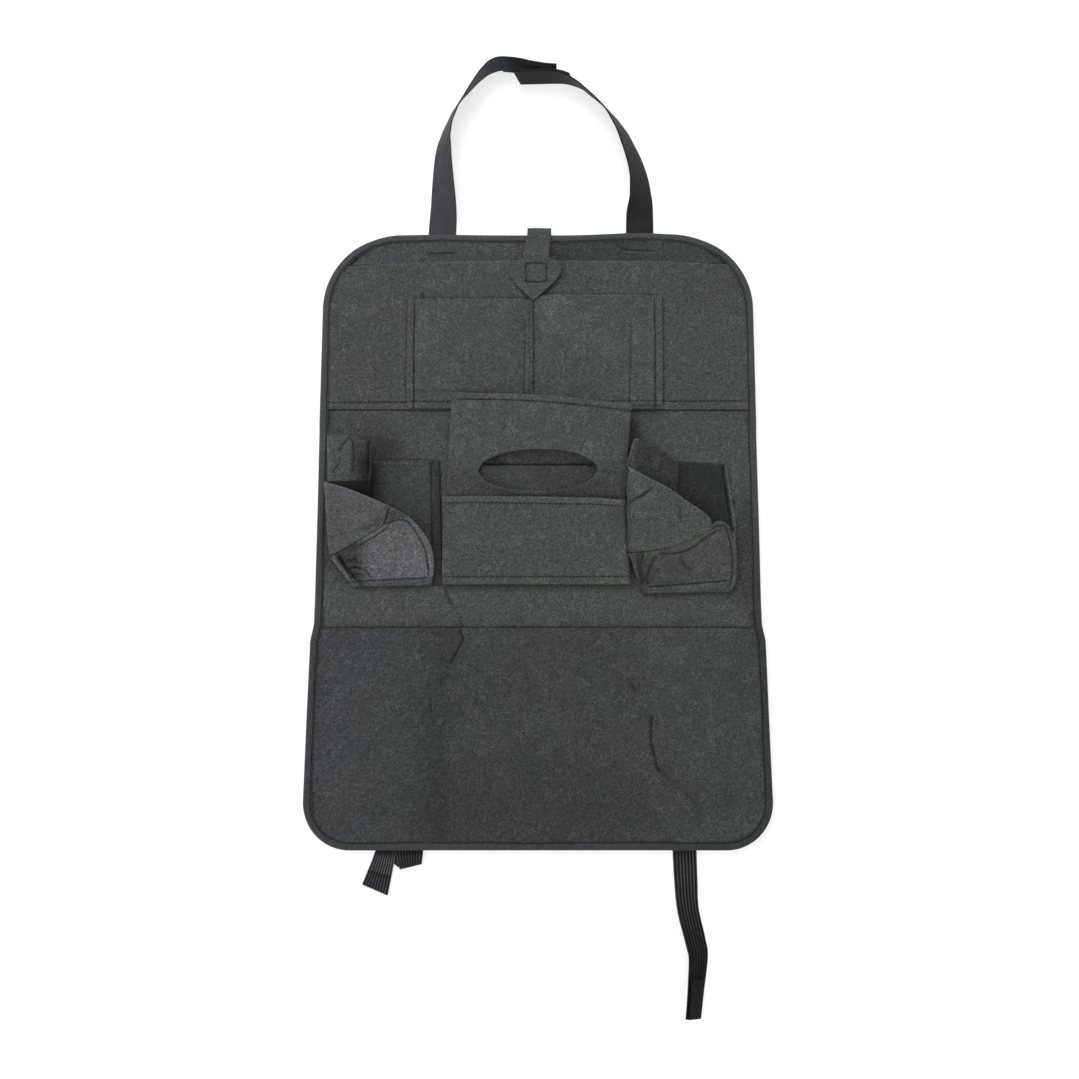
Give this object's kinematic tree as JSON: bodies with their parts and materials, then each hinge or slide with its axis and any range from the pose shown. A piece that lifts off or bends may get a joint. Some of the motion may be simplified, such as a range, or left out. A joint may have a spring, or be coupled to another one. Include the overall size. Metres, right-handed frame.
{
  "type": "car organizer",
  "caption": "Hanging felt car seat-back organizer with a tablet pocket, phone pockets, a tissue pocket, cup pockets, a map pocket, a webbing loop, a closure tab and elastic straps.",
  "frame": {"origin": "centre of the bounding box's underside, with the organizer lying on its back", "axes": "+X to the right seen from the front, +Y up the panel towards the webbing loop, +Z out of the front"},
  "size_m": [0.4092, 0.869, 0.025],
  "materials": {
    "felt": "matt needled felt, charcoal grey with light fibre flecks",
    "binding": "matt folded binding tape, charcoal grey",
    "webbing": "woven polypropylene webbing, black, slightly satin",
    "elastic": "ribbed woven elastic, black",
    "hook_and_loop": "hook and loop patch, dark grey, matt"
  },
  "bodies": {
    "root": {"back_panel": "felt", "edge_binding": "binding", "tablet_pocket": "felt", "phone_pocket_left": "felt", "phone_pocket_right": "felt", "tissue_panel": "felt", "tissue_flap": "felt", "tissue_gusset_left": "felt", "tissue_gusset_right": "felt", "center_pocket": "felt", "left_cup_wall": "felt", "left_cup_floor": "felt", "left_cup_side": "felt", "right_cup_wall": "felt", "right_cup_floor": "felt", "right_cup_side": "felt", "map_pocket": "felt", "left_strap": "webbing", "right_strap": "webbing", "strap_hook_patch": "hook_and_loop", "strap_loop_patch": "hook_and_loop", "closure_tab": "felt", "closure_hook_patch": "hook_and_loop", "closure_loop_patch": "hook_and_loop", "left_elastic": "elastic", "left_elastic_patch": "hook_and_loop", "right_elastic": "elastic", "right_elastic_patch": "hook_and_loop"}
  },
  "joints": []
}
